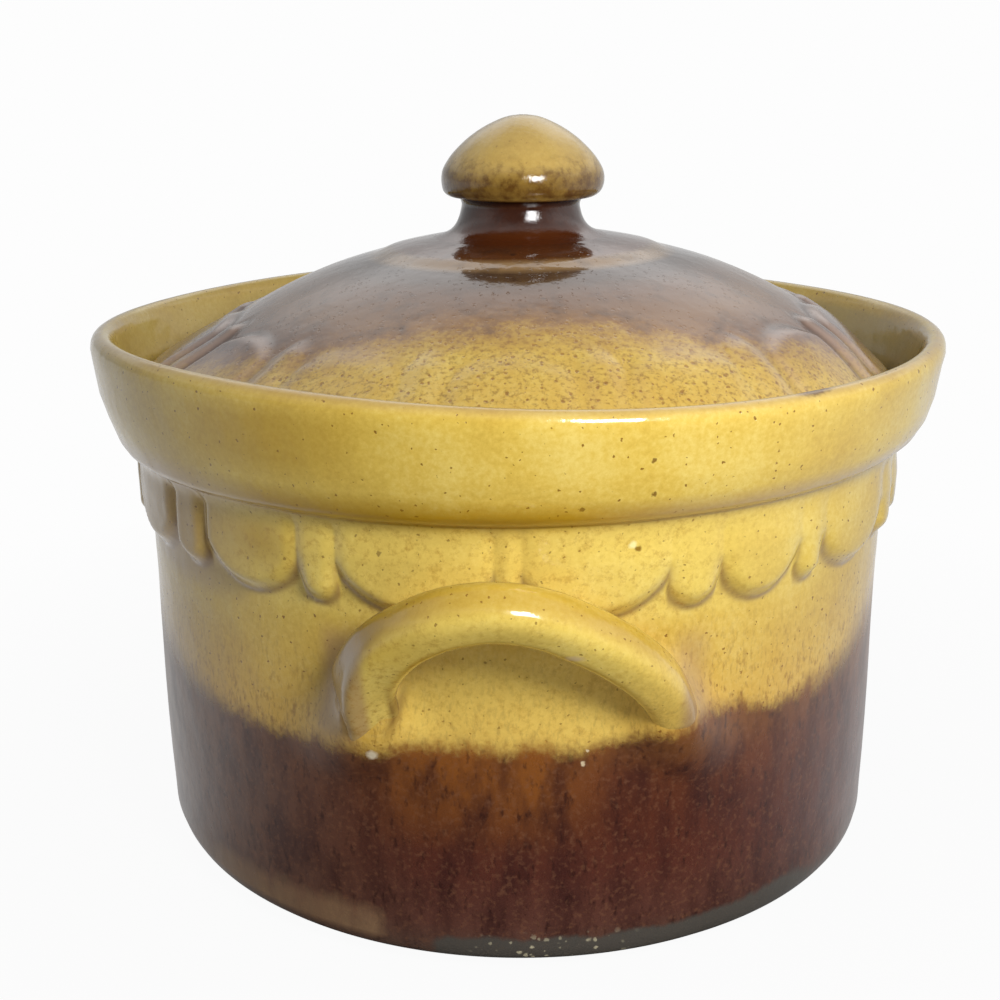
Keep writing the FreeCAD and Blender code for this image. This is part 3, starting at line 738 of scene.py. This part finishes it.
lid_outline = np.concatenate([
    dome(np.linspace(3, lid_foot - 1, 16), -lid_thickness),
    through([dome(lid_foot - 0.4, -lid_thickness), (lid_foot, 116.6), (lid_foot, 115.7),
             (lid_foot + 0.4, lid_bottom), (lid_radius - 1, lid_bottom),
             (lid_radius - 0.2, lid_bottom + 0.3), (lid_radius, lid_bottom + 1.2),
             (lid_radius, 120.2), (lid_radius - 0.3, 121.4), dome(lid_radius - 1.3)], step=0.8),
    dome(np.concatenate([np.linspace(lid_radius - 2, 66, 52), np.linspace(64, 43, 8),
                         np.linspace(42, 32, 14), np.linspace(30, 3, 9)]))])
upper = (np.arange(len(lid_outline)) > np.argmax(lid_outline[:, 0]))[:, None]
petal_count = 13
petal_period = 360 / petal_count
petal_first = -1.3
petal_radius = 85.0
lid_columns = 780
lid_degrees = np.linspace(-180, 180, lid_columns, endpoint=False)


def petal(across, distance, half, tip, round_end):
    """Distance in mm inside a petal: straight sides and half an ellipse towards the knob."""
    share = np.clip(np.abs(across) / half, 0, 1)
    return np.minimum(distance - tip - round_end * (1 - np.sqrt(1 - share ** 2)),
                      half - np.abs(across))


phase = (lid_degrees - petal_first + petal_period / 2) % petal_period - petal_period / 2
lid_distance = lid_outline[:, 0][:, None] + 0 * lid_degrees[None, :]
petal_edge = np.maximum(
    petal(np.radians(phase)[None, :] * petal_radius, lid_distance, half=14.6, tip=73.5,
          round_end=9.0),
    petal(np.radians(np.abs(phase) - petal_period / 2)[None, :] * petal_radius, lid_distance,
          half=5.0, tip=73, round_end=6.0))
# Towards the two sides the petals stand out more than over the handles.
flank = smooth(np.minimum(np.abs(lid_degrees), 180 - np.abs(lid_degrees)), 35, 62)[None, :]
lid_raised = upper * (smooth(petal_edge, -2.8 + 0.6 * flank, 5.2 - flank) * (0.6 + 0.7 * flank)
                      - hill(petal_edge, 0, 2) * 0.35 * flank)
# A low step where the knob was luted on, with a shallow hollow round it.
lid_raised = lid_raised + upper * (0.25 - 0.55 * smooth(lid_distance, 34, 38.8)
                                   + 0.30 * smooth(lid_distance, 38.8, 54))
lid_turn = np.radians(lid_degrees - 90)[None, :]
lid_step = np.gradient(lid_outline, axis=0)
lid_step /= np.linalg.norm(lid_step, axis=1)[:, None]
lid_reach = lid_outline[:, 0][:, None] + lid_raised * lid_step[:, 1][:, None]
lid_rise = lid_outline[:, 1][:, None] - lid_raised * lid_step[:, 0][:, None]
lid_x = lid_reach * np.cos(lid_turn)
set_in = smooth(lid_reach, 97, 80)


def lid_line(degrees):
    """Distance in mm from the axis at which the iron glaze gives way to the honey one."""
    folded = np.minimum(np.abs(degrees), 180 - np.abs(degrees))
    left = from_table(folded, (0, 63.5), (10, 65), (20, 67.5), (30, 72), (40, 77), (50, 82),
                      (60, 88), (90, 93))
    right = from_table(folded, (0, 63.5), (10, 65), (20, 67.3), (30, 71.5), (40, 76), (50, 80.5),
                       (60, 85), (90, 92))
    return np.where(degrees < 0, left, right)


lid = skin("lid", np.stack([lid_x + lid_aside * set_in, lid_reach * np.sin(lid_turn),
                            lid_rise + lid_lean * lid_x * set_in], -1), {
    "above": np.where(upper, lid_distance - lid_line(lid_degrees)[None, :], 30.0),
    "out": lid_distance,
    # Painted shade in the petals' grooves and a painted highlight on their ridges, most on the
    # flanks.
    "groove": upper * flank * hill(petal_edge, -0.3, 1.2),
    "ridge_highlight": upper * (0.12 + 0.88 * flank) * hill(petal_edge, 2.2, 1.6)})
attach(lid, "lid")
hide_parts("lid_shell")

# The iron glaze lies thinly on the lid: amber round the knob, then a dull violet brown that
# mirrors the room, and full of specks where it gives way to the honey glaze.
lid_glaze, tree, shader, place = fired("iron_to_honey_glaze", ior=1.66)
yellow, spots = honey(tree, place, share=0.9, size=1.25)
above = add(tree, "ShaderNodeAttribute", attribute_name="above").outputs["Fac"]
blotch = add(tree, "ShaderNodeTexNoise", {"Vector": place, "Scale": 1 / 7, "Detail": 4.0,
                                          "Roughness": 0.6})
grit = add(tree, "ShaderNodeTexNoise", {"Vector": place, "Scale": 1 / 1.1, "Detail": 3.0,
                                        "Roughness": 0.6})
yellow = over(tree, yellow, linear("#B88634"), blotch.outputs["Fac"], 0.6)
out = add(tree, "ShaderNodeMapRange", {
    "Value": add(tree, "ShaderNodeAttribute", attribute_name="out").outputs["Fac"],
    "From Max": 100.0})
brown = add(tree, "ShaderNodeValToRGB", {"Fac": out.outputs[0]}, stops=[
    (0.20, "#4E2410"), (0.33, "#6E4020"), (0.355, "#9A7A54"), (0.385, "#9A7A54"),
    (0.41, "#523D30"), (0.46, "#58402F"), (0.52, "#74533A"), (0.64, "#86603A"),
    (0.80, "#70554A")]).outputs[0]
brown = clouded(tree, brown, "#3F2B20", blotch.outputs["Fac"], 0.50, 0.75, 0.6)
shaken = add(tree, "ShaderNodeVectorMath", {0: place, 1: grit.outputs["Color"]}, operation="ADD")
smudges = specks(tree, shaken.outputs[0], spacing=8.5, radius=1.7, share=0.4)
brown = over(tree, brown, linear("#38261C"), smudges, 0.7)
yellow = clouded(tree, yellow, "#7E5618", grit.outputs["Fac"], 0.50, 0.68, 0.6)
wander = add(tree, "ShaderNodeMath", {0: blotch.outputs["Fac"], 1: 0.5}, operation="SUBTRACT")
wandering = add(tree, "ShaderNodeMath", {0: wander.outputs[0], 1: -14.0, 2: above},
                operation="MULTIPLY_ADD")
ragged = add(tree, "ShaderNodeMath", {0: grit.outputs["Fac"], 1: -8.0,
                                      2: wandering.outputs[0]}, operation="MULTIPLY_ADD")
honey_share = add(tree, "ShaderNodeMapRange", {"Value": ragged.outputs[0], "From Min": -7.0,
                                               "From Max": 5.0})
coat = clouded(tree, brown, "#A87C44", ragged.outputs[0], -12.0, -2.0, 0.8)
coat = over(tree, coat, yellow, honey_share.outputs[0])
# The painted highlight on the petals' ridges and the painted shade in their grooves.
coat = stained(tree, coat, ("ridge_highlight", "#C4AA9A", 0.5), ("groove", "#3A2818", 0.55))
tree.links.new(coat, shader.inputs["Base Color"])
dull = add(tree, "ShaderNodeMapRange", {"Value": out.outputs[0], "From Min": 0.42,
                                        "From Max": 0.62, "To Min": 0.05, "To Max": 0.14})
worn = add(tree, "ShaderNodeMath", {0: blotch.outputs["Fac"], 1: 0.08, 2: dull.outputs[0]},
           operation="MULTIPLY_ADD")
tree.links.new(worn.outputs[0], shader.inputs["Roughness"])
rippled(tree, shader, place, spots, peel=0.03, swell=0.22, swell_size=8, swell_detail=2.0,
        pit=-0.04)
lid.data.materials.append(lid_glaze)


# Knob
# A turned mushroom knob of stoneware, luted to the top of the dome before the firing, and dark at
# the waist where the iron glaze ran. Its cap overhangs the waist.
knob_outline = np.concatenate([
    through([(3, 155.8), (20, 155.8), (24.4, 156.4), (22, 157.2), (20, 157.85), (18.4, 158.7),
             (17.2, 159.9), (16.3, 161.5), (15.7, 163.4), (15.4, 165.3), (15.9, 166.7)],
            step=0.5),
    through([(16.6, 167.1), (18.7, 167.2), (20.3, 168.3), (21.1, 170.6), (20.9, 173.4),
             (19.3, 176.4), (16.3, 179.8), (11.8, 183.4), (7.6, 185.7), (3.8, 187.1),
             (1.0, 187.5)], step=0.6)])
cap_bottom = 166.9
knob_columns = 180
knob_turn = np.linspace(-math.pi, math.pi, knob_columns, endpoint=False)[None, :]
knob_reach = knob_outline[:, 0][:, None]
knob_height = knob_outline[:, 1][:, None] + 0 * knob_turn
lobed = knob_reach + 0.15 * np.sin(3 * knob_turn + 1) * smooth(knob_height, 168, 172)
knob_shift = 0.88 + 0.4 * smooth(knob_height, 166, 170)
knob_x = lobed * np.cos(knob_turn) + knob_shift
knob_lean = lid_lean * knob_x * smooth(knob_height, 166, 158)
knob = skin("knob", np.stack([knob_x, lobed * np.sin(knob_turn), knob_height + knob_lean], -1), {
    "under": smooth(knob_height, 180, 170) * np.maximum(
        smooth(knob_height, cap_bottom, 168.5), smooth(np.abs(np.cos(knob_turn)), 0.55, 0.85)),
    "neck": (knob_height <= cap_bottom) * 1.0,
    "foot": smooth(knob_height, 161.5, 158)})
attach(knob, "lid")
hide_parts("lid_knob")

# The cap has the honey glaze, paler on top and clotted brown below; the iron glaze on the neck
# gives a near black with sharp mirror images, and amber where it thins out on the lid.
knob_glaze, tree, shader, place = fired("knob_glaze")
yellow, _ = honey(tree, place, share=0.45, size=0.9)
clot = add(tree, "ShaderNodeTexNoise", {"Vector": place, "Scale": 1 / 3.5, "Detail": 5.0,
                                        "Roughness": 0.7})
under = add(tree, "ShaderNodeAttribute", attribute_name="under").outputs["Fac"]
browned = add(tree, "ShaderNodeMath", {0: under, 1: 0.9, 2: clot.outputs["Fac"]},
              operation="MULTIPLY_ADD")
clot_part = add(tree, "ShaderNodeMapRange", {"Value": clot.outputs["Fac"], "From Min": 0.48,
                                             "From Max": 0.68})
low = add(tree, "ShaderNodeMath", {0: under, 1: 0.85, 2: 0.15}, operation="MULTIPLY_ADD")
clotted = add(tree, "ShaderNodeMath", {0: clot_part.outputs[0], 1: low.outputs[0]},
              operation="MULTIPLY")
cap = over(tree, yellow, linear("#CBA562"), 0.5)
cap = over(tree, cap, linear("#A07A28"), under, 0.5)
cap = over(tree, cap, linear("#6A4418"), clotted.outputs[0], 0.85)
cap = clouded(tree, cap, "#5A3812", browned.outputs[0], 0.75, 1.45, 0.8)
dark = over(tree, linear("#2C150E"), linear("#5E3522"), clot.outputs["Fac"], 0.6)
dark = stained(tree, dark, ("foot", "#5A2B10", 0.9))
neck = add(tree, "ShaderNodeAttribute", attribute_name="neck").outputs["Fac"]
whole = over(tree, cap, dark, neck)
tree.links.new(whole, shader.inputs["Base Color"])
dull = add(tree, "ShaderNodeMapRange", {"Value": clot.outputs["Fac"], "From Min": 0.3,
                                        "From Max": 0.7, "To Min": 0.06, "To Max": 0.18})
tree.links.new(dull.outputs[0], shader.inputs["Roughness"])
relief = add(tree, "ShaderNodeMath", {0: clot.outputs["Fac"], 1: 0.16}, operation="MULTIPLY")
bump = add(tree, "ShaderNodeBump", {"Height": relief.outputs[0], "Distance": MM})
tree.links.new(bump.outputs[0], shader.inputs["Normal"])
knob.data.materials.append(knob_glaze)
